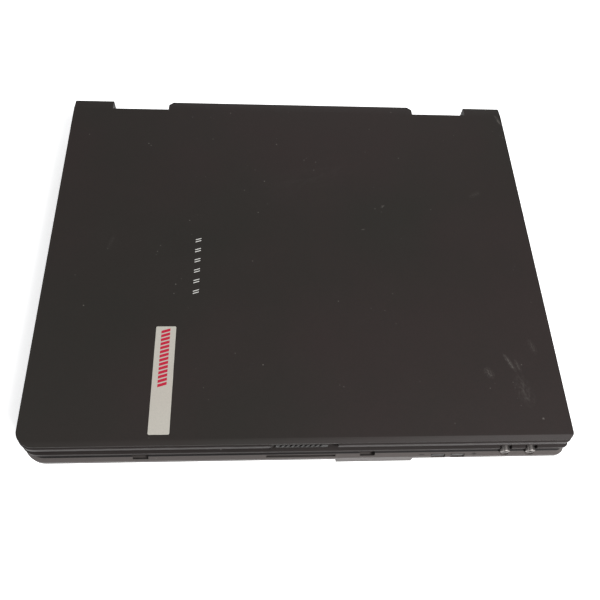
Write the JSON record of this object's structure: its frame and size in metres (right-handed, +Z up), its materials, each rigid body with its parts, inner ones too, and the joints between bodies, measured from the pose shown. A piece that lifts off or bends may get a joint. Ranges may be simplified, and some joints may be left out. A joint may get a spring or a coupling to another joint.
{
  "type": "laptop computer",
  "caption": "Closed business laptop: hinged lid with sliding front latch, keyboard, touchpad, side bays for battery, disk and optical drive, rear sockets.",
  "frame": {"origin": "on the table, below the middle of the closed machine", "axes": "+X to the user's right along the longest side, +Y towards the hinges, +Z up out of the closed lid"},
  "size_m": [0.315, 0.259, 0.0388],
  "materials": {
    "case_plastic": "fine matte, charcoal",
    "deck_plastic": "fine matte, slightly lighter charcoal",
    "lid_plastic": "fine matte, dark charcoal",
    "black_plastic": "matte black",
    "key_plastic": "matte black",
    "touch_film": "satin film",
    "dome_rubber": "matte rubber",
    "socket_plastic": "moulded plastic",
    "socket_steel": "plated steel",
    "jack_metal": "plated ring",
    "board": "green lacquered glass-fibre board",
    "chip": "moulded chip package",
    "heat_metal": "plain aluminium",
    "cell_steel": "steel can",
    "hinge_steel": "dark plated steel",
    "screen": "dark unlit display",
    "badge_metal": "satin silver plate",
    "mark_ink": "printed light marks"
  },
  "bodies": {
    "base": {"bottom_case": "case_plastic", "top_cover": "deck_plastic", "keyboard_tray": "black_plastic", "dome_sheet": "dome_rubber", "touchpad": "touch_film", "headphone_jack": "jack_metal", "microphone_jack": "jack_metal", "power_jack": "socket_plastic", "phone_jack": "socket_plastic", "parallel_port": "socket_plastic", "serial_port": "socket_steel", "video_port": "socket_steel", "usb_port": "socket_steel", "main_board": "board", "processor": "chip", "heat_spreader": "heat_metal", "fan_housing": "black_plastic", "speakers": "black_plastic", "card_cage": "socket_steel", "backup_battery": "cell_steel", "memory_module": "board", "memory_door": "case_plastic", "docking_connector": "socket_plastic", "hinge_tower_left": "hinge_steel", "hinge_tower_right": "hinge_steel", "rubber_feet": "dome_rubber", "case_screws": "hinge_steel"},
    "lid": {"display_cover": "lid_plastic", "display_bezel": "deck_plastic", "lcd_panel": "screen", "inverter_board": "board", "hinge_arm_left": "hinge_steel", "hinge_arm_right": "hinge_steel", "hinge_pin_left": "hinge_steel", "hinge_pin_right": "hinge_steel", "badge_plate": "badge_metal", "name_marks": "mark_ink", "lid_bumpers": "dome_rubber"},
    "latch": {"latch_slider": "black_plastic"},
    "fan": {"fan_rotor": "black_plastic"},
    "battery": {"battery_pack": "case_plastic"},
    "battery_release": {"battery_latch": "case_plastic"},
    "disk": {"hard_disk": "case_plastic"},
    "drive": {"optical_drive": "case_plastic"},
    "tray": {"disc_tray": "black_plastic"},
    "tray_eject": {"tray_button": "black_plastic"},
    "card_ejector": {"card_eject": "case_plastic"},
    "power_key": {"power_button": "deck_plastic"},
    "volume_down_key": {"volume_down": "black_plastic"},
    "volume_up_key": {"volume_up": "black_plastic"},
    "click_left_key": {"click_left": "deck_plastic"},
    "click_right_key": {"click_right": "deck_plastic"},
    "row_function": {"keys_function": "key_plastic"},
    "row_number": {"keys_number": "key_plastic"},
    "row_upper": {"keys_upper": "key_plastic"},
    "row_home": {"keys_home": "key_plastic"},
    "row_lower": {"keys_lower": "key_plastic"},
    "row_bottom": {"keys_bottom": "key_plastic"},
    "space_key": {"space_bar": "key_plastic"}
  },
  "joints": [
    {"name": "lid_hinge", "type": "hinge", "parent": "base", "child": "lid", "pos_m": [0, 0.124, 0.03], "axis": [-1, 0, 0], "range_deg": [0, 145]},
    {"name": "latch_slide", "type": "slide", "parent": "lid", "child": "latch", "axis": [1, 0, 0], "range_m": [0, 0.005], "stiffness_N_per_m": 200},
    {"name": "fan_spin", "type": "hinge", "parent": "base", "child": "fan", "pos_m": [0.126, 0.0585, 0.013], "axis": [0, 0, 1], "continuous": true},
    {"name": "battery_out", "type": "slide", "parent": "base", "child": "battery", "axis": [-1, 0, 0], "range_m": [0, 0.12]},
    {"name": "battery_release_slide", "type": "slide", "parent": "base", "child": "battery_release", "axis": [-1, 0, 0], "range_m": [0, 0.005], "stiffness_N_per_m": 200},
    {"name": "disk_out", "type": "slide", "parent": "base", "child": "disk", "axis": [-1, 0, 0], "range_m": [0, 0.11]},
    {"name": "drive_out", "type": "slide", "parent": "base", "child": "drive", "axis": [1, 0, 0], "range_m": [0, 0.14]},
    {"name": "tray_out", "type": "slide", "parent": "drive", "child": "tray", "axis": [1, 0, 0], "range_m": [0, 0.115]},
    {"name": "tray_eject_press", "type": "slide", "parent": "tray", "child": "tray_eject", "axis": [-1, 0, 0], "range_m": [0, 0.0012], "stiffness_N_per_m": 300},
    {"name": "card_eject_press", "type": "slide", "parent": "base", "child": "card_ejector", "axis": [1, 0, 0], "range_m": [0, 0.004], "stiffness_N_per_m": 200},
    {"name": "power_press", "type": "slide", "parent": "base", "child": "power_key", "axis": [0, 0, -1], "range_m": [0, 0.001], "stiffness_N_per_m": 400},
    {"name": "volume_down_press", "type": "slide", "parent": "base", "child": "volume_down_key", "axis": [0, 1, 0], "range_m": [0, 0.0008], "stiffness_N_per_m": 400},
    {"name": "volume_up_press", "type": "slide", "parent": "base", "child": "volume_up_key", "axis": [0, 1, 0], "range_m": [0, 0.0008], "stiffness_N_per_m": 400},
    {"name": "click_left_press", "type": "slide", "parent": "base", "child": "click_left_key", "axis": [0, 0, -1], "range_m": [0, 0.0008], "stiffness_N_per_m": 400},
    {"name": "click_right_press", "type": "slide", "parent": "base", "child": "click_right_key", "axis": [0, 0, -1], "range_m": [0, 0.0008], "stiffness_N_per_m": 400},
    {"name": "keys_function_press", "type": "slide", "parent": "base", "child": "row_function", "axis": [0, 0, -1], "range_m": [0, 0.0024], "stiffness_N_per_m": 1500},
    {"name": "keys_number_press", "type": "slide", "parent": "base", "child": "row_number", "axis": [0, 0, -1], "range_m": [0, 0.0024], "stiffness_N_per_m": 1500},
    {"name": "keys_upper_press", "type": "slide", "parent": "base", "child": "row_upper", "axis": [0, 0, -1], "range_m": [0, 0.0024], "stiffness_N_per_m": 1500},
    {"name": "keys_home_press", "type": "slide", "parent": "base", "child": "row_home", "axis": [0, 0, -1], "range_m": [0, 0.0024], "stiffness_N_per_m": 1500},
    {"name": "keys_lower_press", "type": "slide", "parent": "base", "child": "row_lower", "axis": [0, 0, -1], "range_m": [0, 0.0024], "stiffness_N_per_m": 1500},
    {"name": "keys_bottom_press", "type": "slide", "parent": "base", "child": "row_bottom", "axis": [0, 0, -1], "range_m": [0, 0.0024], "stiffness_N_per_m": 1500},
    {"name": "space_press", "type": "slide", "parent": "base", "child": "space_key", "axis": [0, 0, -1], "range_m": [0, 0.0024], "stiffness_N_per_m": 400}
  ]
}
